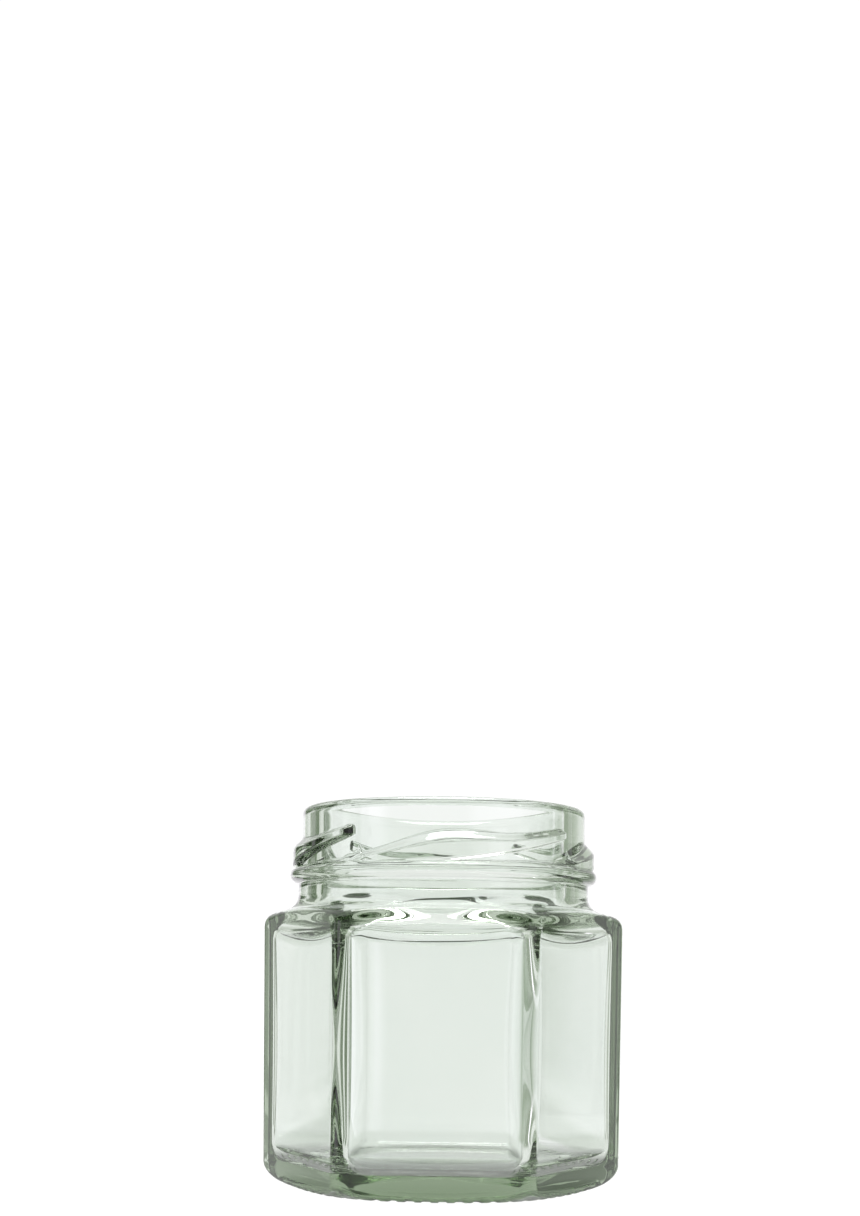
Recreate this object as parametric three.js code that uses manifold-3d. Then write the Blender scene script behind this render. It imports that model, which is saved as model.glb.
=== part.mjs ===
// Small empty hexagonal glass jar with a round neck for a twist-off lid.
// Millimetres, +Z up. The origin is at the centre of the base, on the surface that the jar
// stands on. One panel faces -Y and two corners lie on the X axis.
import * as THREE from "three";
import { mergeVertices } from "three/addons/utils/BufferGeometryUtils.js";
import Module from "manifold-3d";

// Body: six flat panels with rounded corners between them
const PANEL_DISTANCE = 22.15; // axis to the outside of a panel, at its top
const CORNER_RADIUS = 2.6;
const PANEL_BOTTOM = 2.9; // at a corner, where the heel ends
const PANEL_TOP = 35.4; // at a corner, where the shoulder starts
const PANEL_ARCH = 0.7; // how much higher both ends of a panel are at its middle
const TAPER = 0.02; // the body is this share narrower at its base

// Shoulder and neck
const SHOULDER_LOW_PULL = 38.7; // heights that the shoulder's curve leans towards
const SHOULDER_HIGH_PULL = 36.4;
const NECK_BOTTOM = 40.1;
const NECK_RADIUS = 20.3;
const BEAD_HEIGHT = 42.65; // middle of the bead under the threads
const BEAD_RADIUS = 21.5;
const BEAD_HALF_HEIGHT = 1.15;

// Finish: the ring that takes the lid
const TOP = 52.1;
const FINISH_RADIUS = 19.85;
const LIP_OUTER_ROUND = 0.9;
const LIP_INNER_ROUND = 1.2;
const BORE_RADIUS = 16.9;

// Thread lugs, four alike around the finish
const LUG_COUNT = 4;
const LUG_RADIUS = 21.15;
const LUG_ROOT_RADIUS = 18.9; // inside the wall
const LUG_SINK = 0.2; // a lug's edges lie this far inside the wall
const LUG_START = THREE.MathUtils.degToRad(-42); // from the middle of the front panel
const LUG_SPAN = THREE.MathUtils.degToRad(98);
const LUG_STEPS = 22;
const LUG_SECTION = [ // share of the height and share of the rise, from the upper edge down
  [1, 0],
  [0.58, 0.96],
  [0.48, 1],
  [0.14, 1],
  [0.03, 0.8],
  [0, 0],
];
const LUG_LEAD_IN = 0.16; // share of the span over which a lug grows
const LUG_END = 0.05; // share over which it ends
const LUG_END_SIZE = 0.05; // smallest share of the full section, at both ends

// Hollow
const WALL = 2.8; // thickness of a panel
const INNER_CORNER_MIDDLE = 4.0; // corner radius of the hollow at half height
const INNER_CORNER_END = 2.8; // and at the top and bottom of the panels
const HOLLOW_BORE_END = 39.2; // the round bore starts to widen here
const HOLLOW_HIGH_PULL = 35.6; // heights that the hollow's shoulder leans towards
const HOLLOW_LOW_PULL = 36.9;
const HOLLOW_WALL_TOP = 33.4; // at a corner, where the hollow has become six-sided
const HOLLOW_SAG = 1.2; // how much lower that is at the middle of a panel
const FLOOR_ROUND = 2.6;
const FLOOR_HEIGHT = 3.1;
const FLOOR_CROWN = 0.4; // rise of the floor at the axis
const FLOOR_CORNER = 3.0; // corner radius of the hollow at the floor
const FLOOR_DISC = 8.0;

// Underside
const RING_OUTER = 20.5; // flat ring that the jar stands on
const RING_INNER = 17.8;
const PUSH_UP = 1.15; // rise of the underside at the axis
const PUSH_UP_EDGE = 15.6;
const PUSH_UP_SHARE = 0.8;
const KNURL_COUNT = 60;
const KNURL_PHASE = THREE.MathUtils.degToRad(3.35); // first notch, from the middle of the front panel
const KNURL_RADIUS = 0.6;
const KNURL_DEPTH = 0.48;
const KNURL_START = 19.1;
const KNURL_END = 24.4;
const KNURL_SIDES = 6;

// Columns of the surface around each sixth of the jar
const FLAT_STEPS = 6;
const CORNER_STEPS = 6;
const SIXTH_STEPS = FLAT_STEPS + CORNER_STEPS;
const COLUMNS = 6 * SIXTH_STEPS;
const SIXTH = Math.PI / 3;
const FRONT = -Math.PI / 2;

// Steps along each rounded stretch of the profile
const HEEL_STEPS = 5;
const SHOULDER_STEPS = 9;
const BEAD_STEPS = 5;
const LIP_STEPS = 4;
const HOLLOW_SHOULDER_STEPS = 8;
const HOLLOW_WALL_STEPS = 4;
const FLOOR_STEPS = 4;

const { clamp, lerp } = THREE.MathUtils;

// Shares of a quarter turn, leaving out the start
function quarterTurns(steps) {
  return Array.from({ length: steps }, (_, i) => ((i + 1) / steps) * (Math.PI / 2));
}

// A point of a hexagon with rounded corners, by column
function hexagonPoint(panelDistance, cornerRadius, column) {
  const sixth = Math.floor(column / SIXTH_STEPS);
  const step = column % SIXTH_STEPS;
  const halfFlat = (panelDistance - cornerRadius) * Math.tan(SIXTH / 2);
  const turn = (Math.max(0, step - FLAT_STEPS) / CORNER_STEPS) * SIXTH;
  const along = lerp(-halfFlat, halfFlat, Math.min(1, step / FLAT_STEPS)) + cornerRadius * Math.sin(turn);
  const out = panelDistance - cornerRadius + cornerRadius * Math.cos(turn);
  return new THREE.Vector2(out, along).rotateAround(new THREE.Vector2(), FRONT + sixth * SIXTH);
}

// A point of a circle, with the same columns spread evenly
function circlePoint(radius, column) {
  const angle = FRONT + ((column - FLAT_STEPS / 2) / COLUMNS) * 2 * Math.PI;
  return new THREE.Vector2(radius * Math.cos(angle), radius * Math.sin(angle));
}

// 1 at the middle of a panel and 0 at a corner
function panelMiddle(column) {
  const step = column % SIXTH_STEPS;
  const across = clamp((2 * step) / FLAT_STEPS - 1, -1, 1);
  return 1 - across * across;
}

// One level ring of the surface. share mixes the circle (0) with the hexagon (1), and arch
// lifts the ring at the middle of each panel.
function ring({ z, radius = 0, panel = 0, corner = 0, share = 0, arch = 0 }) {
  return Array.from({ length: COLUMNS }, (_, column) => {
    const flat = share > 0 ? hexagonPoint(panel, corner, column) : new THREE.Vector2();
    const point = circlePoint(radius, column).lerp(flat, share);
    const height = z + arch * panelMiddle(column);
    point.multiplyScalar(1 - TAPER * clamp(1 - height / PANEL_TOP, 0, 1));
    return new THREE.Vector3(point.x, point.y, height);
  });
}

function undersideRings() {
  return [
    ring({ z: PUSH_UP, radius: FLOOR_DISC }),
    ring({ z: PUSH_UP * PUSH_UP_SHARE, radius: PUSH_UP_EDGE }),
    ring({ z: PUSH_UP * PUSH_UP_SHARE ** 3, radius: lerp(PUSH_UP_EDGE, RING_INNER, PUSH_UP_SHARE) }),
    ring({ z: 0, radius: RING_INNER }),
    ring({ z: 0, radius: RING_OUTER }),
  ];
}

// The heel grows from the round standing ring into the hexagon along a quarter of an ellipse
function heelRings() {
  return quarterTurns(HEEL_STEPS).map((turn) =>
    ring({
      z: PANEL_BOTTOM * (1 - Math.cos(turn)),
      radius: RING_OUTER,
      panel: PANEL_DISTANCE,
      corner: CORNER_RADIUS,
      share: Math.sin(turn),
      arch: PANEL_ARCH * (1 - Math.cos(turn)),
    })
  );
}

// A shoulder turns a hexagon into a circle along one S-shaped curve, which makes a dome over
// each corner. The curve gives the share of the hexagon and the height.
function shoulderCurve(steps, bottom, lowPull, highPull, top) {
  const curve = new THREE.CubicBezierCurve(
    new THREE.Vector2(1, bottom),
    new THREE.Vector2(1, lowPull),
    new THREE.Vector2(0, highPull),
    new THREE.Vector2(0, top)
  );
  return curve.getPoints(steps);
}

function shoulderRings() {
  const curve = shoulderCurve(SHOULDER_STEPS, PANEL_TOP, SHOULDER_LOW_PULL, SHOULDER_HIGH_PULL, NECK_BOTTOM);
  return curve.map(({ x: share, y: z }) =>
    ring({
      z,
      radius: NECK_RADIUS,
      panel: PANEL_DISTANCE,
      corner: CORNER_RADIUS,
      share,
      arch: PANEL_ARCH * share * share,
    })
  );
}

function beadRings() {
  return Array.from({ length: BEAD_STEPS + 1 }, (_, step) => {
    const turn = (step / BEAD_STEPS) * Math.PI;
    const root = lerp(NECK_RADIUS, FINISH_RADIUS, step / BEAD_STEPS);
    return ring({
      z: BEAD_HEIGHT - BEAD_HALF_HEIGHT * Math.cos(turn),
      radius: lerp(root, BEAD_RADIUS, Math.sin(turn)),
    });
  });
}

function lipRings() {
  const outer = quarterTurns(LIP_STEPS).map((turn) =>
    ring({
      z: TOP - LIP_OUTER_ROUND * (1 - Math.sin(turn)),
      radius: FINISH_RADIUS - LIP_OUTER_ROUND * (1 - Math.cos(turn)),
    })
  );
  const inner = quarterTurns(LIP_STEPS).map((turn) =>
    ring({
      z: TOP - LIP_INNER_ROUND * (1 - Math.cos(turn)),
      radius: BORE_RADIUS + LIP_INNER_ROUND * (1 - Math.sin(turn)),
    })
  );
  return [
    ring({ z: TOP - LIP_OUTER_ROUND, radius: FINISH_RADIUS }),
    ...outer,
    ring({ z: TOP, radius: BORE_RADIUS + LIP_INNER_ROUND }),
    ...inner,
  ];
}

// The hollow, from the bore down its own softer shoulder, the panels and the floor
function hollowRings() {
  const innerPanel = PANEL_DISTANCE - WALL;
  const curve = shoulderCurve(
    HOLLOW_SHOULDER_STEPS,
    HOLLOW_WALL_TOP,
    HOLLOW_LOW_PULL,
    HOLLOW_HIGH_PULL,
    HOLLOW_BORE_END
  );
  const shoulder = curve.reverse().map(({ x: share, y: z }) =>
    ring({
      z,
      radius: BORE_RADIUS,
      panel: innerPanel,
      corner: INNER_CORNER_END,
      share,
      arch: -HOLLOW_SAG * share * share,
    })
  );
  const wallBottom = FLOOR_HEIGHT + FLOOR_ROUND;
  const wall = Array.from({ length: HOLLOW_WALL_STEPS }, (_, step) => {
    const down = (step + 1) / HOLLOW_WALL_STEPS;
    return ring({
      z: lerp(HOLLOW_WALL_TOP, wallBottom, down),
      panel: innerPanel,
      corner: lerp(INNER_CORNER_END, INNER_CORNER_MIDDLE, Math.sin(down * Math.PI)),
      share: 1,
      arch: -HOLLOW_SAG * (1 - down) ** 2,
    });
  });
  const floor = quarterTurns(FLOOR_STEPS).map((turn) =>
    ring({
      z: wallBottom - FLOOR_ROUND * Math.sin(turn),
      panel: innerPanel - FLOOR_ROUND * (1 - Math.cos(turn)),
      corner: lerp(INNER_CORNER_END, FLOOR_CORNER, 1 - Math.cos(turn)),
      share: 1,
    })
  );
  return [...shoulder, ...wall, ...floor, ring({ z: FLOOR_HEIGHT + FLOOR_CROWN, radius: FLOOR_DISC })];
}

// A closed mesh through rings of equal length, with a fan at each end
function closedSurface(rings, firstPoint, lastPoint) {
  const count = rings[0].length;
  const points = [...rings.flat(), firstPoint, lastPoint];
  const first = points.length - 2;
  const last = points.length - 1;
  const index = [];
  for (let side = 0; side < count; side += 1) {
    const next = (side + 1) % count;
    index.push(first, next, side);
    for (let row = 0; row + 1 < rings.length; row += 1) {
      const low = row * count;
      const high = low + count;
      index.push(low + side, low + next, high + next, low + side, high + next, high + side);
    }
    const end = (rings.length - 1) * count;
    index.push(last, end + side, end + next);
  }
  const geometry = new THREE.BufferGeometry().setFromPoints(points);
  geometry.setIndex(index);
  return geometry;
}

function middlePoint(points) {
  return points.reduce((sum, point) => sum.add(point), new THREE.Vector3()).divideScalar(points.length);
}

function jarBlank() {
  const rings = [
    ...undersideRings(),
    ...heelRings(),
    ...shoulderRings(),
    ...beadRings(),
    ...lipRings(),
    ...hollowRings(),
  ];
  const underside = new THREE.Vector3(0, 0, PUSH_UP);
  const floor = new THREE.Vector3(0, 0, FLOOR_HEIGHT + FLOOR_CROWN);
  return closedSurface(rings, underside, floor);
}

// Edges of a lug along its span: it ramps out of the bead, runs nearly level and rises again
function lugEdge(heights) {
  return new THREE.CatmullRomCurve3(heights.map(([share, z]) => new THREE.Vector3(share, 0, z)));
}

const lugUpperEdge = lugEdge([
  [0.0, 43.8],
  [0.15, 44.9],
  [0.44, 47.8],
  [0.74, 47.5],
  [1.0, 48.7],
]);
const lugLowerEdge = lugEdge([
  [0.0, 43.0],
  [0.15, 43.1],
  [0.44, 43.5],
  [0.74, 45.0],
  [1.0, 47.1],
]);

// How far a lug stands out along its span
function lugFullness(share) {
  const grow = clamp(share / LUG_LEAD_IN, LUG_END_SIZE, 1);
  const end = clamp((1 - share) / LUG_END, LUG_END_SIZE, 1);
  return Math.sin((grow * Math.PI) / 2) * Math.sqrt(end);
}

function lug(start) {
  const sections = Array.from({ length: LUG_STEPS + 1 }, (_, step) => {
    const { x: share, z: top } = lugUpperEdge.getPoint(step / LUG_STEPS);
    const bottom = lugLowerEdge.getPoint(step / LUG_STEPS).z;
    const middle = (top + bottom) / 2;
    const full = lugFullness(share);
    const angle = FRONT + start + share * LUG_SPAN;
    const section = LUG_SECTION.map(([up, out]) => {
      const radius = lerp(FINISH_RADIUS - LUG_SINK, LUG_RADIUS, full * out);
      return [radius, lerp(middle, lerp(bottom, top, up), full)];
    });
    section.push([LUG_ROOT_RADIUS, middle]);
    return section.map(([radius, z]) => new THREE.Vector3(radius * Math.cos(angle), radius * Math.sin(angle), z));
  });
  return closedSurface(sections, middlePoint(sections[0]), middlePoint(sections[LUG_STEPS]));
}

// A six-sided bar along the radius, which cuts one notch of the knurl
function knurlBar(angle) {
  const bar = new THREE.CylinderGeometry(KNURL_RADIUS, KNURL_RADIUS, KNURL_END - KNURL_START, KNURL_SIDES);
  bar.rotateZ(Math.PI / 2);
  bar.translate((KNURL_START + KNURL_END) / 2, 0, KNURL_DEPTH - KNURL_RADIUS);
  bar.rotateZ(angle);
  bar.deleteAttribute("normal");
  bar.deleteAttribute("uv");
  return mergeVertices(bar);
}

const wasm = await Module();
wasm.setup();

function toSolid(geometry) {
  const position = geometry.getAttribute("position");
  return new wasm.Manifold(
    new wasm.Mesh({ numProp: 3, vertProperties: position.array, triVerts: Uint32Array.from(geometry.index.array) })
  );
}

function toGeometry(solid) {
  const mesh = solid.getMesh();
  const geometry = new THREE.BufferGeometry();
  geometry.setAttribute("position", new THREE.BufferAttribute(mesh.vertProperties, 3));
  geometry.setIndex(new THREE.BufferAttribute(mesh.triVerts, 1));
  return geometry;
}

function jarGeometry() {
  let solid = toSolid(jarBlank());
  for (let i = 0; i < LUG_COUNT; i += 1) {
    solid = solid.add(toSolid(lug(LUG_START + (i * 2 * Math.PI) / LUG_COUNT)));
  }
  for (let i = 0; i < KNURL_COUNT; i += 1) {
    solid = solid.subtract(toSolid(knurlBar(FRONT + KNURL_PHASE + (i * 2 * Math.PI) / KNURL_COUNT)));
  }
  return toGeometry(solid);
}

const glass = new THREE.MeshStandardMaterial({
  color: new THREE.Color("rgb(218, 226, 221)"),
  roughness: 0.04,
  metalness: 0,
  transparent: true,
  opacity: 0.35,
});

const part = new THREE.Group();
const jar = new THREE.Mesh(jarGeometry(), glass);
jar.name = "jar";
part.add(jar);

export default part;
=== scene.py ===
import math

import bpy
import numpy as np
from mathutils import Matrix, Vector


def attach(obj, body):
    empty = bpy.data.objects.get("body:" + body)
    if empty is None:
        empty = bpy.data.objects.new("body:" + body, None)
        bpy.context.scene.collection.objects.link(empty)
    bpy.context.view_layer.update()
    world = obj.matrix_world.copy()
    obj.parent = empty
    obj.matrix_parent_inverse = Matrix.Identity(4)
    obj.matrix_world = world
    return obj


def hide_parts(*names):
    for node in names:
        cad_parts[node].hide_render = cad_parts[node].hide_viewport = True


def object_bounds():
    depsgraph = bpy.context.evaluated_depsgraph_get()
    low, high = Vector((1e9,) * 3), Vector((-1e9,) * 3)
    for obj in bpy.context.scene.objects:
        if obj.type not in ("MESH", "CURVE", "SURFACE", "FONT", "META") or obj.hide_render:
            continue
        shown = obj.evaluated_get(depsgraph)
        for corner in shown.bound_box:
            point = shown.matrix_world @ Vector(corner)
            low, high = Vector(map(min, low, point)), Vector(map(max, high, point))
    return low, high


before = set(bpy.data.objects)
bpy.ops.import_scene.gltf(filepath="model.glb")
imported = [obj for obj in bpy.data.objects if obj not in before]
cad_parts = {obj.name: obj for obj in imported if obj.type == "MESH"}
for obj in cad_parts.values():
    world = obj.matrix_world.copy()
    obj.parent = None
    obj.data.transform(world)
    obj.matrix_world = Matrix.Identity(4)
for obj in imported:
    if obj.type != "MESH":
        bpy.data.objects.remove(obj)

bl_info = {
    "name": "Hexagonal glass jar",
    "version": (1, 0, 0),
    "blender": (4, 5, 0),
    "location": "View3D > Sidebar > Glass jar",
    "description": "Builds a small empty six-sided glass jar with thread lugs, and the studio it stands in",
    "category": "Object",
}

CAD_LOW, CAD_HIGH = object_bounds()
JAR_HEIGHT = CAD_HIGH.z
PANEL_DISTANCE = CAD_HIGH.y

MM = 0.001
SIXTH = math.pi / 3
FRONT = -math.pi / 2  # the middle of the front panel
FLAT_STEPS = 40  # columns of the surface over one flat panel
CORNER_STEPS = 40  # and round one corner
SIXTH_STEPS = FLAT_STEPS + CORNER_STEPS
COLUMNS = 6 * SIXTH_STEPS

DOME_RINGS = np.array([0.6, 6.0, 12.0]) * MM  # radii of the rows in the middle of the underside
DOME_FALL = 0.08  # share of the push-up that the dome falls before it steps down to the ring

LUG_COUNT = 4
LUG_WAY = (0.0, 0.15, 0.44, 0.74, 1.0)  # shares of a lug's span where its edges are given
LUG_UPPER = (43.8, 44.9, 47.8, 47.5, 48.7)  # upper edge along a lug, in millimetres
LUG_LOWER = (43.0, 43.1, 43.5, 45.0, 47.1)  # and its lower edge
LUG_LEAD_IN = 0.16  # share of the span over which a lug grows
LUG_END = 0.04  # share over which it ends
LUG_SLOPE = 0.44  # share of a lug's height that slopes up to its upper edge
LUG_CURVE = 0.05  # how much that slope is rounded at both ends
LUG_FLANK = 0.5 * MM  # height of a lug's steep lower side
LUG_MARGIN = 0.1 * MM  # both sides reach this far past the lug's edges
LUG_BLEND = 0.12 * MM  # softness of the line where a lug meets the wall
LUG_AHEAD = 0.3  # angle before a lug that counts as before it, not after it
LUG_ZONE = (42.5 * MM, 49.5 * MM)  # only points between these heights are pushed
THREAD_BOTTOM = 43.8 * MM
THREAD_TOP = 49.4 * MM
THREAD_BANDS = (45.0 * MM, 47.8 * MM)  # heights of the rows that follow a lug's lower and upper edge
LOW_BAND_REACH = 0.3 * MM  # the lower band of close rows reaches this far up
BAND_MOVE = 0.06  # share of the span over which the bands move from one lug to the next

NOTCH_FADE = 1.0 * MM  # length over which a notch fades out towards the axis
NOTCH_SINK = 0.05 * MM  # a faded notch lies this far under the ring
NOTCH_BLEND = 0.02 * MM  # softness of a notch's edges
NOTCH_REACH = 1.3  # rows up to this many notch depths can be lifted


def length(name, description, millimetres, **extra):
    """A size that a user can change, with its default given in millimetres."""
    return bpy.props.FloatProperty(
        name=name, description=description, default=millimetres * MM, unit="LENGTH", precision=5, **extra
    )


class GlassJarBody(bpy.types.PropertyGroup):
    panel_distance: length("Panel distance", "From the axis to a panel, at its top", PANEL_DISTANCE / MM)
    corner_radius: length("Corner radius", "Rounding of the upright corners", 2.6)
    panel_bottom: length("Panel bottom", "Height at a corner where the heel ends", 2.9)
    panel_top: length("Panel top", "Height at a corner where the shoulder starts", 35.4)
    panel_arch: length("Panel arch", "Extra height of both ends of a panel at its middle", 0.7)
    taper: bpy.props.FloatProperty(
        name="Taper", description="Share by which the body is narrower at its base",
        default=0.02, subtype="FACTOR",
    )
    shoulder_low: length("Shoulder low pull", "Height that the start of the shoulder leans towards", 38.7)
    shoulder_high: length("Shoulder high pull", "Height that the end of the shoulder leans towards", 36.4)
    neck_bottom: length("Neck bottom", "Height where the shoulder has become round", 40.1)
    neck_radius: length("Neck radius", "Radius of the neck over the shoulder", 20.3)


class GlassJarFinish(bpy.types.PropertyGroup):
    bead_height: length("Bead height", "Middle of the bead under the threads", 42.65)
    bead_radius: length("Bead radius", "Radius over the bead", 21.5)
    bead_half: length("Bead half height", "Half of the bead's height", 1.15)
    radius: length("Finish radius", "Radius of the ring that takes the lid", 19.85)
    lip_outer: length("Outer lip rounding", "Rounding of the rim's outer edge", 0.9)
    lip_inner: length("Inner lip rounding", "Rounding of the rim's inner edge", 1.2)
    bore: length("Bore radius", "Radius of the mouth", 16.9)
    lug_radius: length("Lug radius", "Radius over the thread lugs", 21.15)
    lug_start: bpy.props.FloatProperty(
        name="Lug start", description="Start of the first lug, from the middle of the front panel",
        default=math.radians(-42), subtype="ANGLE",
    )
    lug_span: bpy.props.FloatProperty(
        name="Lug span", description="Angle that one lug takes", default=math.radians(98), subtype="ANGLE"
    )


class GlassJarHollow(bpy.types.PropertyGroup):
    wall: length("Wall", "Thickness of a panel", 2.8)
    corner_middle: length("Corner at half height", "Corner radius of the hollow at half height", 4.0)
    corner_end: length("Corner at the ends", "Corner radius of the hollow at the ends of the panels", 2.8)
    bore_end: length("Bore end", "Height where the round bore starts to widen", 39.2)
    high_pull: length("High pull", "Height that the hollow's shoulder leans towards below the bore", 35.6)
    low_pull: length("Low pull", "Height that the hollow's shoulder leans towards over the panels", 36.9)
    sag: length("Sag", "How much lower the hollow's shoulder ends at the middle of a panel", 1.2)
    wall_top: length("Wall top", "Height where the hollow has become six-sided", 33.4)
    floor_round: length("Floor rounding", "Rounding between the panels and the floor", 2.6)
    floor_height: length("Floor height", "Thickness of the base at its edge", 3.1)
    floor_crown: length("Floor crown", "Rise of the floor at its middle", 0.4)
    floor_corner: length("Floor corner", "Corner radius of the hollow at the floor", 3.0)


class GlassJarBase(bpy.types.PropertyGroup):
    ring_outer: length("Ring outer radius", "Outside of the ring that the jar stands on", 20.5)
    ring_inner: length("Ring inner radius", "Inside of the ring that the jar stands on", 17.8)
    push_up: length("Push-up", "Rise of the underside at its middle", 1.15)
    push_up_edge: length("Push-up edge", "Radius where the underside starts to fall to the ring", 15.6)
    knurl_count: bpy.props.IntProperty(
        name="Notches", description="Notches round the standing ring", default=60
    )
    knurl_phase: bpy.props.FloatProperty(
        name="First notch", description="Angle of the first notch from the middle of the front panel",
        default=math.radians(3.35), subtype="ANGLE",
    )
    knurl_radius: length("Notch radius", "Rounding of a notch", 0.6)
    knurl_depth: length("Notch depth", "Depth of a notch", 0.48)
    knurl_start: length("Notch start", "Distance from the axis where the notches start", 19.1)


class GlassJarGlass(bpy.types.PropertyGroup):
    tint: bpy.props.FloatVectorProperty(
        name="Tint", description="Colour that the glass lets through", subtype="COLOR", size=3, min=0, max=1,
        default=(0.592, 0.667, 0.547),
    )
    density: bpy.props.FloatProperty(
        name="Density", description="How strongly the glass takes up light, per metre", default=84.0
    )
    ior: bpy.props.FloatProperty(
        name="Index of refraction", description="Bending of light by the glass", default=1.52
    )


class GlassJarStudio(bpy.types.PropertyGroup):
    distance: length("Camera distance", "Camera to the jar's axis", 235.56)
    height: length("Camera height", "Height of the camera over the floor", 28.478)
    azimuth: bpy.props.FloatProperty(
        name="Azimuth", description="Camera to the right of the front panel",
        default=math.radians(2.3), subtype="ANGLE",
    )
    pitch: bpy.props.FloatProperty(
        name="Pitch", description="Camera looks this far up", default=math.radians(4.341), subtype="ANGLE"
    )
    roll: bpy.props.FloatProperty(
        name="Roll", description="Camera leans this far", default=0.0116, subtype="ANGLE"
    )
    lens: bpy.props.FloatProperty(name="Lens", description="Focal length in millimetres", default=49.562)
    shift_x: bpy.props.FloatProperty(name="Shift across", description="Shift of the frame", default=-0.01128)
    shift_y: bpy.props.FloatProperty(name="Shift up", description="Shift of the frame", default=0.2)
    backdrop: bpy.props.FloatProperty(
        name="Backdrop", description="Brightness of floor and backdrop", default=1.0
    )
    ceiling: bpy.props.FloatProperty(name="Ceiling", description="Brightness of the open top", default=0.85)


def stretch(**sizes):
    """Rows of the profile, one for each value of z: height, circle radius, panel distance, corner radius,
    share of the hexagon, and arch."""
    count = len(sizes["z"])
    names = ("z", "radius", "panel", "corner", "share", "arch")
    return np.stack([np.broadcast_to(sizes.get(name, 0.0), count) for name in names], axis=1)


def quarter(steps):
    """Angles of a quarter turn in equal steps, without the first."""
    return np.linspace(0, math.pi / 2, steps + 1)[1:]


def smooth_step(way):
    """Rises from 0 to 1, level at both ends: three times the squared way less twice the cubed one."""
    return way * way * (3 - 2 * way)


def smooth_max(a, b, softness):
    """The larger of two values, with a rounded change-over where they differ by less than the softness: the
    larger plus a quarter of the softness times the squared share by which they are closer than it."""
    near = np.clip(1 - np.abs(a - b) / softness, 0, 1)
    return np.maximum(a, b) + near * near * softness / 4


def shoulder_curve(steps, start, low_pull, high_pull, end):
    """Share of the hexagon and height along a shoulder: a cubic curve from all hexagon at the start to all
    circle at the end, which leaves its start and reaches its end upright."""
    t = np.linspace(0, 1, steps)
    share = (1 - t) ** 3 + 3 * (1 - t) ** 2 * t
    z = (1 - t) ** 3 * start + 3 * (1 - t) ** 2 * t * low_pull + 3 * (1 - t) * t**2 * high_pull + t**3 * end
    return share, z


def surface_points(profile, body):
    """Grid of points, rows by columns. Each row mixes a circle with a hexagon whose corners are rounded, by
    its share, and is lifted at the middle of each panel by its arch times one minus the squared distance
    across the panel. The body narrows towards its base by the taper."""
    z, radius, panel, corner, share, arch = (profile[:, i, None] for i in range(6))
    step = np.arange(SIXTH_STEPS)[None, :]
    across = np.clip(2 * step / FLAT_STEPS - 1, -1, 1)
    turn = np.clip(step - FLAT_STEPS, 0, None) / CORNER_STEPS * SIXTH
    half_flat = (panel - corner) * math.tan(SIXTH / 2)
    along = half_flat * across + corner * np.sin(turn)
    out = panel - corner + corner * np.cos(turn)
    facing = (FRONT + SIXTH * np.arange(6))[None, :, None]
    hexagon_x = out[:, None] * np.cos(facing) - along[:, None] * np.sin(facing)
    hexagon_y = out[:, None] * np.sin(facing) + along[:, None] * np.cos(facing)
    rows = len(profile)
    angle = FRONT + (np.arange(COLUMNS)[None, :] - FLAT_STEPS / 2) / COLUMNS * 2 * math.pi
    height = z + arch * np.tile(1 - across**2, 6)
    narrow = 1 - body.taper * np.clip(1 - height / body.panel_top, 0, 1)
    x = (1 - share) * radius * np.cos(angle) + share * hexagon_x.reshape(rows, COLUMNS)
    y = (1 - share) * radius * np.sin(angle) + share * hexagon_y.reshape(rows, COLUMNS)
    return np.stack([x * narrow, y * narrow, height], axis=2)


def underside_profile(base):
    """A shallow dome, lower by the squared distance from the axis, that falls to the flat ring along a smooth
    step: rise = the dome's rise at its edge times half of one plus the cosine of the way across the step."""
    way = np.linspace(0, 1, 9)
    step = base.push_up_edge + (base.ring_inner - base.push_up_edge) * way
    return np.vstack([
        stretch(z=base.push_up * (1 - DOME_FALL * (DOME_RINGS / base.push_up_edge) ** 2), radius=DOME_RINGS),
        stretch(z=base.push_up * (1 - DOME_FALL) * (1 + np.cos(way * math.pi)) / 2, radius=step),
        stretch(z=np.zeros(6), radius=np.linspace(base.ring_inner, base.ring_outer, 7)[1:]),
    ])


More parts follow.
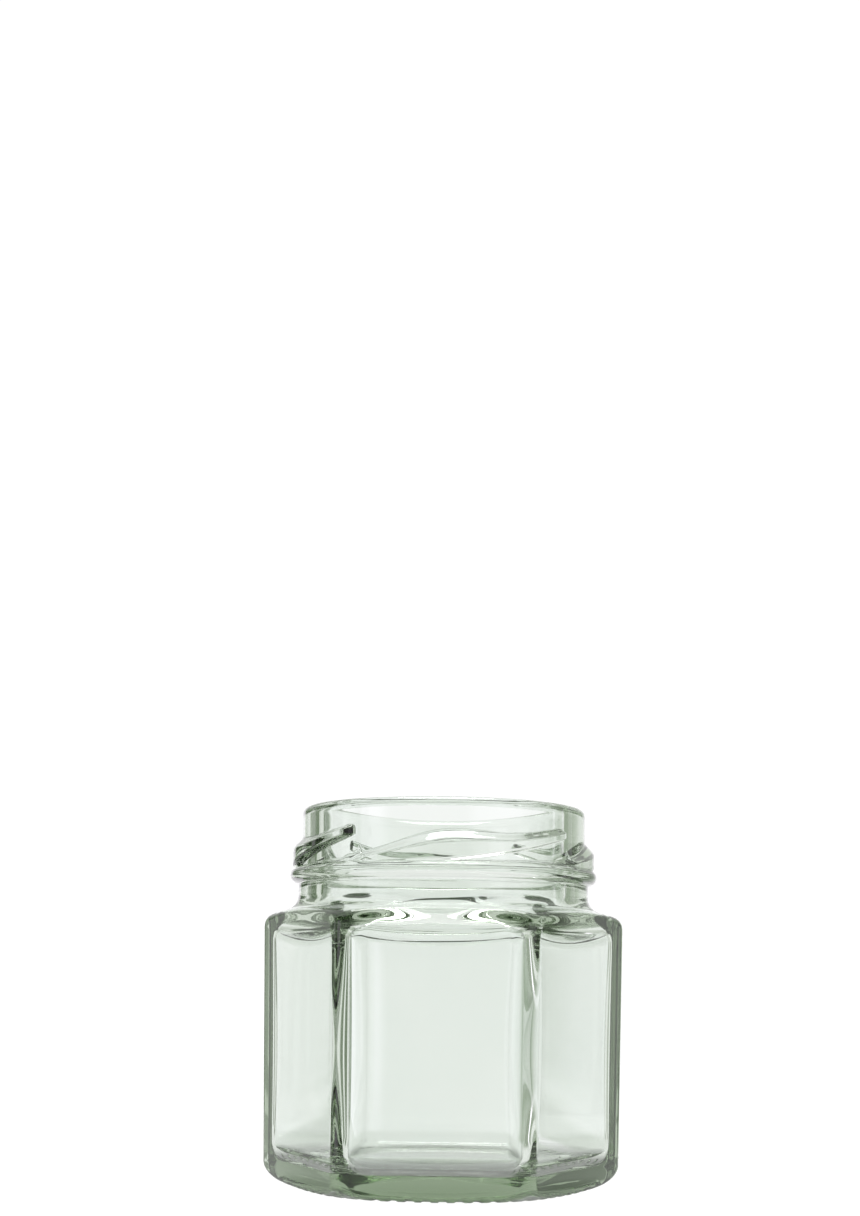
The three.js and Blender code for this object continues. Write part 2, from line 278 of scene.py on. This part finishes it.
def outside_profile(body, finish, base):
    """Heel, panels, shoulder, neck, bead, finish and the outer half of the rim, from the bottom up. The heel
    is a quarter of an ellipse from the ring to the hexagon, the shoulder a cubic curve in share and height,
    and the bead half a circle."""
    turn = quarter(14)
    heel = stretch(
        z=body.panel_bottom * (1 - np.cos(turn)), radius=base.ring_outer, panel=body.panel_distance,
        corner=body.corner_radius, share=np.sin(turn), arch=body.panel_arch * (1 - np.cos(turn)),
    )
    panels = stretch(
        z=np.linspace(body.panel_bottom, body.panel_top, 13)[1:-1], panel=body.panel_distance,
        corner=body.corner_radius, share=1.0, arch=body.panel_arch,
    )
    share, z = shoulder_curve(23, body.panel_top, body.shoulder_low, body.shoulder_high, body.neck_bottom)
    shoulder = stretch(
        z=z, radius=body.neck_radius, panel=body.panel_distance, corner=body.corner_radius, share=share,
        arch=body.panel_arch * share**2,
    )
    neck_top = finish.bead_height - finish.bead_half
    neck = stretch(z=np.linspace(body.neck_bottom, neck_top, 4)[1:-1], radius=body.neck_radius)
    way = np.linspace(0, 1, 12)
    root = body.neck_radius + (finish.radius - body.neck_radius) * way
    bead = stretch(
        z=finish.bead_height - finish.bead_half * np.cos(way * math.pi),
        radius=root + (finish.bead_radius - root) * np.sin(way * math.pi),
    )
    lip_start = JAR_HEIGHT - finish.lip_outer
    low, high = THREAD_BANDS
    levels = np.concatenate([
        np.linspace(THREAD_BOTTOM, low - LUG_MARGIN, 6)[1:-1],
        np.linspace(low - LUG_MARGIN, low + LOW_BAND_REACH, 12),
        np.linspace(low + LOW_BAND_REACH, high - LUG_MARGIN, 19)[1:-1],
        np.linspace(high - LUG_MARGIN, high + LUG_MARGIN, 5),
        np.linspace(high + LUG_MARGIN, THREAD_TOP, 7)[1:],
    ])
    threads = stretch(z=levels, radius=finish.radius)
    plain = stretch(z=np.linspace(THREAD_TOP, lip_start, 4)[1:], radius=finish.radius)
    turn = quarter(7)
    lip = stretch(
        z=JAR_HEIGHT - finish.lip_outer * (1 - np.sin(turn)),
        radius=finish.radius - finish.lip_outer * (1 - np.cos(turn)),
    )
    return np.vstack([heel, panels, shoulder, neck, bead, threads, plain, lip])


def inside_profile(body, finish, hollow):
    """The inner half of the rim, the bore, the hollow's softer shoulder, its panels, the rounding and the
    crowned floor, from the top down."""
    turn = np.linspace(0, math.pi / 2, 9)
    lip = stretch(
        z=JAR_HEIGHT - finish.lip_inner * (1 - np.cos(turn)),
        radius=finish.bore + finish.lip_inner * (1 - np.sin(turn)),
    )
    bore = stretch(z=np.linspace(JAR_HEIGHT - finish.lip_inner, hollow.bore_end, 6)[1:-1], radius=finish.bore)
    inner = body.panel_distance - hollow.wall
    share, z = shoulder_curve(21, hollow.wall_top, hollow.low_pull, hollow.high_pull, hollow.bore_end)
    shoulder = stretch(
        z=z[::-1], radius=finish.bore, panel=inner, corner=hollow.corner_end, share=share[::-1],
        arch=-hollow.sag * share[::-1] ** 2,
    )
    wall_bottom = hollow.floor_height + hollow.floor_round
    way = np.linspace(0, 1, 13)[1:]
    grow = hollow.corner_middle - hollow.corner_end
    walls = stretch(
        z=hollow.wall_top + (wall_bottom - hollow.wall_top) * way, panel=inner,
        corner=hollow.corner_end + grow * np.sin(way * math.pi), share=1.0, arch=-hollow.sag * (1 - way) ** 2,
    )
    turn = quarter(12)
    rounding = stretch(
        z=wall_bottom - hollow.floor_round * np.sin(turn),
        panel=inner - hollow.floor_round * (1 - np.cos(turn)),
        corner=hollow.corner_end + (hollow.floor_corner - hollow.corner_end) * (1 - np.cos(turn)), share=1.0,
    )
    edge = inner - hollow.floor_round
    out = np.linspace(1, 0.03, 6)[1:]
    floor = stretch(
        z=hollow.floor_height + hollow.floor_crown * (1 - out**2), panel=edge * out, radius=edge * out,
        corner=hollow.floor_corner * out, share=out**2,
    )
    return np.vstack([lip, bore, shoulder, walls, rounding, floor])


def curve_through(ways, values, way):
    """Cubic curve through a few points, with the slopes of a Catmull-Rom curve."""
    x, y = np.array(ways), np.array(values)
    slope = np.gradient(y, x)
    at = np.clip(np.searchsorted(x, way, side="right") - 1, 0, len(x) - 2)
    span = x[at + 1] - x[at]
    t = np.clip((way - x[at]) / span, 0, 1)
    return (
        y[at] * (1 + 2 * t) * (1 - t) ** 2 + slope[at] * span * t * (1 - t) ** 2
        + y[at + 1] * t * t * (3 - 2 * t) + slope[at + 1] * span * t * t * (t - 1)
    )


def lug_edges(way):
    """Height of a lug's upper and lower edge at a share of its span."""
    top = curve_through(LUG_WAY, LUG_UPPER, way) * MM
    bottom = curve_through(LUG_WAY, LUG_LOWER, way) * MM
    return top, bottom


def outside(radius, finish):
    """Where a point of the finish belongs to its outer side and not to the bore."""
    return radius > (finish.bore + finish.radius) / 2


def along_lugs(points, finish):
    """Slides the rows of the finish up or down, so that two bands of close rows follow the edges of the lug
    that each column crosses. From the end of one lug to the next the bands move in a smooth step."""
    x, y, z = points[..., 0], points[..., 1], points[..., 2]
    angle = (np.arctan2(y, x) - FRONT - finish.lug_start) / finish.lug_span
    period = 2 * math.pi / LUG_COUNT / finish.lug_span
    way = 1 - period + np.mod(angle - 1 + period, period)
    step = smooth_step(np.clip((way - 1 + period) / BAND_MOVE, 0, 1))
    top, bottom = lug_edges(np.clip(way, 0, 1))
    last_top, last_bottom = lug_edges(np.ones(1))
    top = last_top + (top - last_top) * step
    bottom = np.maximum(last_bottom + (bottom - last_bottom) * step, THREAD_BOTTOM + LUG_MARGIN)
    low, high = THREAD_BANDS
    slid = np.where(
        z < low,
        THREAD_BOTTOM + (z - THREAD_BOTTOM) / (low - THREAD_BOTTOM) * (bottom - THREAD_BOTTOM),
        np.where(
            z < high,
            bottom + (z - low) / (high - low) * (top - bottom),
            top + (z - high) / (THREAD_TOP - high) * (THREAD_TOP - top),
        ),
    )
    threads = outside(np.hypot(x, y), finish) & (z > THREAD_BOTTOM) & (z < THREAD_TOP)
    points[..., 2] = np.where(threads, slid, z)
    return points


def with_lugs(points, finish):
    """Pushes the outer side of the finish out into four thread lugs. A lug's section falls from its flat
    face to the upper edge along a slope, the way less a twentieth of the sine of a full turn times the way,
    and to the lower edge in a short smooth step. A lug grows out of the wall along a quarter of a sine wave,
    and ends bluntly along a parabola."""
    x, y, z = points[..., 0], points[..., 1], points[..., 2]
    radius = np.hypot(x, y)
    angle = np.arctan2(y, x) - FRONT - finish.lug_start
    rise = finish.lug_radius - finish.radius
    pushed = radius
    for number in range(LUG_COUNT):
        start = number * 2 * math.pi / LUG_COUNT
        way = (np.mod(angle - start + LUG_AHEAD, 2 * math.pi) - LUG_AHEAD) / finish.lug_span
        inside = np.clip(way, 0, 1)
        top, bottom = lug_edges(inside)
        grow = np.sin(np.clip(inside / LUG_LEAD_IN, 0, 1) * math.pi / 2)
        end = np.clip((1 - inside) / LUG_END, 0, 1)
        full = grow * end * (2 - end) * ((way > 0) & (way < 1))
        upper = np.clip((top + LUG_MARGIN - z) / (LUG_SLOPE * (top - bottom)), 0, 1)
        lower = np.clip((z - bottom + LUG_MARGIN) / LUG_FLANK, 0, 1)
        hump = (upper - LUG_CURVE * np.sin(2 * math.pi * upper)) * smooth_step(lower)
        ridge = finish.radius - LUG_BLEND + (rise + LUG_BLEND) * hump * full
        pushed = smooth_max(pushed, ridge, LUG_BLEND)
    zone = outside(radius, finish) & (z > LUG_ZONE[0]) & (z < LUG_ZONE[1])
    scale = np.where(zone, pushed / radius, 1.0)
    points[..., 0] *= scale
    points[..., 1] *= scale
    return points


def with_notches(points, base):
    """Lifts the bottom edge into rounded notches that run along the radius: their roof is a circle across the
    notch, and they fade in over the last millimetre towards the axis."""
    x, y, z = points[..., 0], points[..., 1], points[..., 2]
    radius = np.hypot(x, y)
    pitch = 2 * math.pi / base.knurl_count
    angle = np.arctan2(y, x) - FRONT - base.knurl_phase
    aside = radius * (np.mod(angle + pitch / 2, pitch) - pitch / 2)
    roof = base.knurl_depth - base.knurl_radius
    roof = roof + np.sqrt(np.clip(base.knurl_radius**2 - aside**2, 0, None))
    fade = smooth_step(np.clip((radius - base.knurl_start) / NOTCH_FADE, 0, 1))
    roof = roof - (1 - fade) * (base.knurl_depth + NOTCH_SINK)
    low = (z < base.knurl_depth * NOTCH_REACH) & (radius > base.knurl_start)
    points[..., 2] = np.where(low, smooth_max(z, roof, NOTCH_BLEND), z)
    return points


def ring_faces(rows, columns):
    """Four-cornered faces between the rings of a grid, each ring closed by a face from its last point to its
    first."""
    low = np.arange(rows - 1)[:, None] * columns + np.arange(columns)
    low_next = np.arange(rows - 1)[:, None] * columns + np.roll(np.arange(columns), -1)
    return np.stack([low, low_next, low_next + columns, low + columns], axis=2).reshape(-1, 4)


def revolved(out, up, columns):
    """Grid of points round the upright axis, a ring for each distance and height of a profile."""
    angle = np.linspace(0, 2 * math.pi, columns + 1)[:-1]
    return np.stack([
        out[:, None] * np.cos(angle), out[:, None] * np.sin(angle), np.repeat(up[:, None], columns, axis=1)
    ], axis=2)


def closed_mesh(name, points, first, last):
    """A closed mesh from a grid whose rows are rings, with a fan of triangles to a point at each end."""
    rows, columns = points.shape[:2]
    flat = np.vstack([points.reshape(-1, 3), [first, last]])
    side = np.arange(columns)
    after = np.roll(side, -1)
    start = np.stack([np.full(columns, rows * columns), after, side], axis=1)
    end_row = (rows - 1) * columns
    end = np.stack([np.full(columns, rows * columns + 1), end_row + side, end_row + after], axis=1)
    mesh = bpy.data.meshes.new(name)
    mesh.from_pydata(flat.tolist(), [], ring_faces(rows, columns).tolist() + start.tolist() + end.tolist())
    mesh.validate()
    mesh.shade_smooth()
    piece = bpy.data.objects.new(name, mesh)
    bpy.context.scene.collection.objects.link(piece)
    return piece


def new_material(name):
    """A material with no nodes yet, its nodes and its links."""
    material = bpy.data.materials.new(name)
    material.use_nodes = True
    nodes = material.node_tree.nodes
    nodes.clear()
    return material, nodes, material.node_tree.links


def noise(nodes, links, place, scale, detail=2.0):
    """A noise of the given scale and detail, read at a place."""
    texture = nodes.new("ShaderNodeTexNoise")
    texture.inputs["Scale"].default_value = scale
    texture.inputs["Detail"].default_value = detail
    links.new(place, texture.inputs["Vector"])
    return texture.outputs["Fac"]


def ramp(nodes, links, value, span, result):
    """A straight ramp from the first result to the second over a span of a value, level outside it."""
    slope = nodes.new("ShaderNodeMapRange")
    slope.inputs["From Min"].default_value, slope.inputs["From Max"].default_value = span
    slope.inputs["To Min"].default_value, slope.inputs["To Max"].default_value = result
    links.new(value, slope.inputs["Value"])
    return slope.outputs["Result"]


def jar_glass(settings):
    """Pressed green-tinged glass: clear, a little wavy, streaky round the base, slightly cloudier here and
    there, scuffed where it stands, and green where it is thick."""
    material, nodes, links = new_material("pale_green_glass")
    output = nodes.new("ShaderNodeOutputMaterial")
    shader = nodes.new("ShaderNodeBsdfPrincipled")
    shader.inputs["Transmission Weight"].default_value = 1.0
    shader.inputs["IOR"].default_value = settings.ior
    shader.inputs["Specular IOR Level"].default_value = 0.5
    links.new(shader.outputs["BSDF"], output.inputs["Surface"])

    where = nodes.new("ShaderNodeTexCoord").outputs["Object"]
    cloud = noise(nodes, links, where, 70.0, 3.0)
    tint = nodes.new("ShaderNodeValToRGB")
    tint.color_ramp.elements[0].position = 0.3
    tint.color_ramp.elements[0].color = (0.955, 0.982, 0.972, 1)
    tint.color_ramp.elements[1].position = 0.7
    tint.color_ramp.elements[1].color = (0.985, 1.0, 0.994, 1)
    links.new(cloud, tint.inputs["Fac"])
    links.new(tint.outputs["Color"], shader.inputs["Base Color"])

    height = nodes.new("ShaderNodeSeparateXYZ")
    links.new(where, height.inputs["Vector"])
    scuff = ramp(nodes, links, height.outputs["Z"], (0.0, 0.9 * MM), (0.16, 0.0))
    haze = ramp(nodes, links, cloud, (0.35, 0.75), (0.0, 0.02))
    rough = nodes.new("ShaderNodeMath")
    rough.operation = "MAXIMUM"
    links.new(scuff, rough.inputs[0])
    links.new(haze, rough.inputs[1])
    links.new(rough.outputs["Value"], shader.inputs["Roughness"])

    flat = nodes.new("ShaderNodeMapping")
    flat.inputs["Scale"].default_value = (0.12, 0.12, 1.0)
    links.new(where, flat.inputs["Vector"])
    low_down = ramp(nodes, links, height.outputs["Z"], (1.5 * MM, 4.5 * MM), (2.0, 0.0))
    relief = nodes.new("ShaderNodeMath")
    relief.operation = "MULTIPLY_ADD"
    links.new(noise(nodes, links, flat.outputs["Vector"], 1300.0), relief.inputs[0])
    links.new(low_down, relief.inputs[1])
    links.new(noise(nodes, links, where, 160.0, 1.0), relief.inputs[2])
    bump = nodes.new("ShaderNodeBump")
    bump.inputs["Strength"].default_value = 0.25
    bump.inputs["Distance"].default_value = 0.02 * MM
    links.new(relief.outputs["Value"], bump.inputs["Height"])
    links.new(bump.outputs["Normal"], shader.inputs["Normal"])

    depth = nodes.new("ShaderNodeVolumeAbsorption")
    depth.inputs["Color"].default_value = (*settings.tint, 1)
    depth.inputs["Density"].default_value = settings.density
    links.new(depth.outputs["Volume"], output.inputs["Volume"])
    return material


def studio_paper(settings):
    """Matt white paper, lit evenly from behind, with a trace of grain."""
    material, nodes, links = new_material("studio_paper")
    output = nodes.new("ShaderNodeOutputMaterial")
    shader = nodes.new("ShaderNodeBsdfPrincipled")
    shader.inputs["Roughness"].default_value = 0.9
    shader.inputs["Specular IOR Level"].default_value = 0.1
    shader.inputs["Emission Strength"].default_value = settings.backdrop
    where = nodes.new("ShaderNodeTexCoord").outputs["Object"]
    shade = ramp(nodes, links, noise(nodes, links, where, 900.0), (0.0, 1.0), (0.99, 1.0))
    links.new(shade, shader.inputs["Emission Color"])
    shader.inputs["Base Color"].default_value = (0.04, 0.04, 0.04, 1)
    links.new(shader.outputs["BSDF"], output.inputs["Surface"])
    return material


# What the glass sees round it: painted light and shade, seen only as painted reflections in the glass
SURROUND_COLUMNS = 1440  # four to a degree
SURROUND_RADIUS = 0.6  # where the floor turns up into the wall
SURROUND_ROWS = 81  # rings on the floor round the jar
FADE_LENGTH = 30 * MM  # width over which a sector fades in on the floor
UNDER_SHADOW = 0.3  # brightness of the painted shadow right under the jar
UNDER_START = 20 * MM  # where that painted shadow starts to lift into white
UNDER_FADE = 8 * MM  # and the width over which it does
LOW_TOP = 0.22  # height where the table's values have faded out
LOW_FADE = 0.1  # and the height that this takes
HIGH_TOP = 0.52  # height where the values of the upper part have faded out
HIGH_FADE = 0.08  # and the height that this takes
HIGH_UP = (  # angle, painted brightness of the upper part
    (0, 0.5), (30, 0.75), (60, 1.0), (120, 1.0), (150, 0.75), (180, 0.5), (198, 0.1), (342, 0.1), (360, 0.5),
)
SURROUND_TINT = (1.0, 0.86, 1.08)  # powers that make the painted dark parts olive and keep white ones white
LEAN = ((0, -1), (65, -1), (90, 0), (115, 1), (170, 1), (200, 0), (340, 0), (360, -1))  # angle, sense
LEAN_REACH = 21 * MM  # the turn is the angle of this length at a distance,
LEAN_LESS = 2  # less so many degrees,
LEAN_MOST = 8  # and so many at most
SURROUND = (  # compass angle, painted brightness, and how far from the jar it starts on the floor, in millimetres
    (0, 0.5, 55), (5, 0.36, 55), (19.5, 0.36, 55), (20.7, 1.8, 55), (22.7, 1.8, 55),
    (23.8, 0.36, 55), (29, 0.36, 55), (30.5, 1.0, 55), (36.5, 1.0, 55), (38, 0.4, 55),
    (50, 0.45, 55), (62, 0.7, 55), (70, 1.05, 55), (80, 1.15, 55), (90, 1.06, 55),
    (95, 1.06, 55), (105, 1.15, 55), (118, 1.3, 55), (121, 0.5, 120), (124, 0.2, 120),
    (138, 0.2, 120), (139.5, 0.9, 120), (146.3, 0.9, 110), (147.5, 0.2, 110), (155, 0.18, 70),
    (157, 1.1, 55), (159.6, 1.1, 55), (161.5, 0.18, 55), (173, 0.18, 55), (176, 1.0, 55),
    (188, 1.0, 55), (193, 0.5, 55), (202, 0.15, 55), (205, 1.6, 55), (220, 1.6, 55),
    (225, 0.55, 55), (290, 0.55, 55), (300, 1.2, 200), (335, 1.2, 200), (345, 0.5, 60), (360, 0.5, 55),
)


def surround():
    """What only the glass sees: a glowing ring on the floor that turns up into an upright wall, painted with
    light and shade that the glass shows as painted reflections. Its brightness is a curve through a few
    values by compass angle, turned a little more the closer it is to the jar. Right under the jar it is
    darker, a painted shadow;
    close to the jar and high up it fades into white."""
    angle = np.linspace(0, 360, SURROUND_COLUMNS + 1)[:-1]
    at, value, distance = np.array(SURROUND).T
    start = np.interp(angle, at, distance) * MM
    wall = np.concatenate([np.linspace(0.1, 0.25, 7), [HIGH_TOP - HIGH_FADE, HIGH_TOP, 1.0]])
    floor = np.concatenate([np.linspace(0.001, 0.161, SURROUND_ROWS), [0.25, 0.35, SURROUND_RADIUS]])
    up = np.concatenate([np.full(len(floor), -0.05 * MM), wall])
    out = np.concatenate([floor, np.full(len(wall), SURROUND_RADIUS)])
    twist = np.clip(np.degrees(LEAN_REACH / out) - LEAN_LESS, 0, LEAN_MOST)
    # painted dark and bright bands by compass angle, seen only in the glass
    painted_light = np.interp(angle - twist[:, None] * np.interp(angle, *np.array(LEAN).T), at, value)
    fade = smooth_step(np.clip((out[:, None] - start) / FADE_LENGTH, 0, 1))
    low_down = np.clip((LOW_TOP - up[:, None]) / LOW_FADE, 0, 1)
    # painted shadow right under the jar, seen through its base: dark at the axis, rising to white
    under = smooth_step(np.clip((out[:, None] - UNDER_START) / UNDER_FADE, 0, 1))
    tint = np.array(SURROUND_TINT)
    shade = (UNDER_SHADOW + (1 - UNDER_SHADOW) * under)[..., None]
    shade = shade + (painted_light[..., None] ** tint - 1) * (fade * smooth_step(low_down))[..., None]
    # painted brightness of the upper wall by compass angle
    high = np.interp(angle, *np.array(HIGH_UP).T)[:, None] ** tint
    middle = (1 - low_down) * np.clip((HIGH_TOP - up[:, None]) / HIGH_FADE, 0, 1)
    shade = shade + (high - 1) * middle[..., None]
    shade = np.concatenate([shade, np.ones((len(up), SURROUND_COLUMNS, 1))], axis=2)
    grid = revolved(out, up, SURROUND_COLUMNS)
    faces = ring_faces(len(out), SURROUND_COLUMNS)[:, [0, 3, 2, 1]]  # they face the axis
    mesh = bpy.data.meshes.new("painted_reflection_surround")
    mesh.from_pydata(grid.reshape(-1, 3).tolist(), [], faces.tolist())
    painted_layer = mesh.attributes.new("painted_light", "FLOAT_COLOR", "POINT")
    painted_layer.data.foreach_set("color", shade.astype(np.float32).ravel())
    material, nodes, links = new_material("painted_reflection_surround")
    output = nodes.new("ShaderNodeOutputMaterial")
    light = nodes.new("ShaderNodeEmission")
    value = nodes.new("ShaderNodeAttribute")
    value.attribute_name = "painted_light"
    links.new(value.outputs["Color"], light.inputs["Color"])
    links.new(light.outputs["Emission"], output.inputs["Surface"])
    material.cycles.emission_sampling = "NONE"
    mesh.materials.append(material)
    # the painted surround shows only in the glass's reflections and refractions
    card = bpy.data.objects.new("painted_reflection_surround", mesh)
    bpy.context.scene.collection.objects.link(card)
    card.visible_camera = False
    card.visible_diffuse = False
    card.visible_shadow = False


class GLASSJAR_OT_jar(bpy.types.Operator):
    """Builds the whole jar as one closed skin of glass"""

    bl_idname = "glassjar.jar"
    bl_label = "Glass jar"

    def execute(self, context):
        scene = context.scene
        body, finish = scene.glass_jar_body, scene.glass_jar_finish
        hollow, base = scene.glass_jar_hollow, scene.glass_jar_base
        profile = np.vstack([
            underside_profile(base),
            outside_profile(body, finish, base),
            inside_profile(body, finish, hollow),
        ])
        points = surface_points(profile, body)
        points = with_lugs(along_lugs(points, finish), finish)
        points = with_notches(points, base)
        jar = closed_mesh(
            "glass_jar", points, (0, 0, base.push_up), (0, 0, hollow.floor_height + hollow.floor_crown)
        )
        jar.data.materials.append(jar_glass(scene.glass_jar_glass))
        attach(jar, "root")
        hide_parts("jar")
        return {"FINISHED"}


# The studio
BACKDROP_COLUMNS = 96
LIGHTS = (  # name, place, size, watts
    ("overhead_softbox", (0.0, 0.05, 0.8), (0.45, 0.45), 5.0),
    ("left_softbox", (-0.5, -0.6, 0.5), (0.25, 0.5), 1.2),
)
LIGHT_TARGET = (0, 0, 0.025)
LIGHT_PATHS = 20  # turns that a ray may take in the glass


class GLASSJAR_OT_studio(bpy.types.Operator):
    """Sets up the pale floor and backdrop, the lights and the camera"""

    bl_idname = "glassjar.studio"
    bl_label = "Studio"

    def execute(self, context):
        scene = context.scene
        studio = scene.glass_jar_studio
        turn = np.linspace(0, math.pi / 2, 13)
        out = np.concatenate([[0.002, 0.1, 0.5], 0.7 + 0.5 * np.sin(turn), [1.2]])
        up = np.concatenate([[0, 0, 0], 0.5 * (1 - np.cos(turn)), [1.3]]) - 0.1 * MM
        grid = revolved(out, up, BACKDROP_COLUMNS)
        faces = ring_faces(len(out), BACKDROP_COLUMNS).tolist()
        middle = list(range(BACKDROP_COLUMNS - 1, -1, -1))
        mesh = bpy.data.meshes.new("studio_backdrop")
        mesh.from_pydata(grid.reshape(-1, 3).tolist(), [], faces + [middle])
        mesh.shade_smooth()
        mesh.materials.append(studio_paper(studio))
        backdrop = bpy.data.objects.new("studio_backdrop", mesh)
        scene.collection.objects.link(backdrop)

        # painted light and shade round the jar, seen only in the glass
        surround()

        world = bpy.data.worlds.new("studio_world")
        world.use_nodes = True
        world.node_tree.nodes["Background"].inputs["Color"].default_value = (1, 1, 1, 1)
        world.node_tree.nodes["Background"].inputs["Strength"].default_value = studio.ceiling
        scene.world = world
        scene.view_settings.view_transform = "Standard"
        scene.cycles.max_bounces = LIGHT_PATHS
        scene.cycles.glossy_bounces = LIGHT_PATHS
        scene.cycles.transmission_bounces = LIGHT_PATHS

        for name, place, size, power in LIGHTS:
            light = bpy.data.lights.new(name, "AREA")
            light.shape = "RECTANGLE"
            light.size, light.size_y = size
            light.energy = power
            lamp = bpy.data.objects.new(name, light)
            lamp.location = place
            lamp.rotation_mode = "QUATERNION"
            lamp.rotation_quaternion = (Vector(LIGHT_TARGET) - Vector(place)).to_track_quat("-Z", "Y")
            lamp.visible_camera = False
            scene.collection.objects.link(lamp)

        camera = bpy.data.objects.new("camera", bpy.data.cameras.new("camera"))
        camera.data.lens = studio.lens
        camera.data.sensor_width = 36.0
        camera.data.shift_x = studio.shift_x
        camera.data.shift_y = studio.shift_y
        camera.data.clip_start = 0.01
        camera.data.clip_end = 10.0
        back = Vector((math.sin(studio.azimuth), -math.cos(studio.azimuth), 0))
        right = Vector((math.cos(studio.azimuth), math.sin(studio.azimuth), 0))
        view = -back * math.cos(studio.pitch) + Vector((0, 0, 1)) * math.sin(studio.pitch)
        up_way = right.cross(view)
        camera.matrix_world = (
            Matrix.Translation(back * studio.distance + Vector((0, 0, studio.height)))
            @ Matrix((right, up_way, -view)).transposed().to_4x4()
            @ Matrix.Rotation(studio.roll, 4, "Z")
        )
        scene.collection.objects.link(camera)
        scene.camera = camera
        return {"FINISHED"}


class GLASSJAR_PT_panel(bpy.types.Panel):
    """Lists the jar's operators and sizes"""

    bl_label = "Glass jar"
    bl_idname = "GLASSJAR_PT_panel"
    bl_space_type = "VIEW_3D"
    bl_region_type = "UI"
    bl_category = "Glass jar"

    def draw(self, context):
        layout = self.layout
        for operator in OPERATORS:
            layout.operator(operator.bl_idname)
        for name in GROUPS:
            box = layout.box()
            group = getattr(context.scene, name)
            for field in group.__annotations__:
                box.prop(group, field)


OPERATORS = (GLASSJAR_OT_jar, GLASSJAR_OT_studio)
GROUPS = {
    "glass_jar_body": GlassJarBody,
    "glass_jar_finish": GlassJarFinish,
    "glass_jar_hollow": GlassJarHollow,
    "glass_jar_base": GlassJarBase,
    "glass_jar_glass": GlassJarGlass,
    "glass_jar_studio": GlassJarStudio,
}


def register():
    """Registers the sizes, the operators and the panel."""
    for group in GROUPS.values():
        bpy.utils.register_class(group)
    for name, group in GROUPS.items():
        setattr(bpy.types.Scene, name, bpy.props.PointerProperty(type=group))
    for operator in OPERATORS:
        bpy.utils.register_class(operator)
    bpy.utils.register_class(GLASSJAR_PT_panel)


def unregister():
    """Takes them away again."""
    bpy.utils.unregister_class(GLASSJAR_PT_panel)
    for operator in reversed(OPERATORS):
        bpy.utils.unregister_class(operator)
    for name, group in reversed(GROUPS.items()):
        delattr(bpy.types.Scene, name)
        bpy.utils.unregister_class(group)


def main():
    """Builds the jar and the studio."""
    register()
    bpy.ops.glassjar.jar()
    bpy.ops.glassjar.studio()


if __name__ == "__main__":
    main()
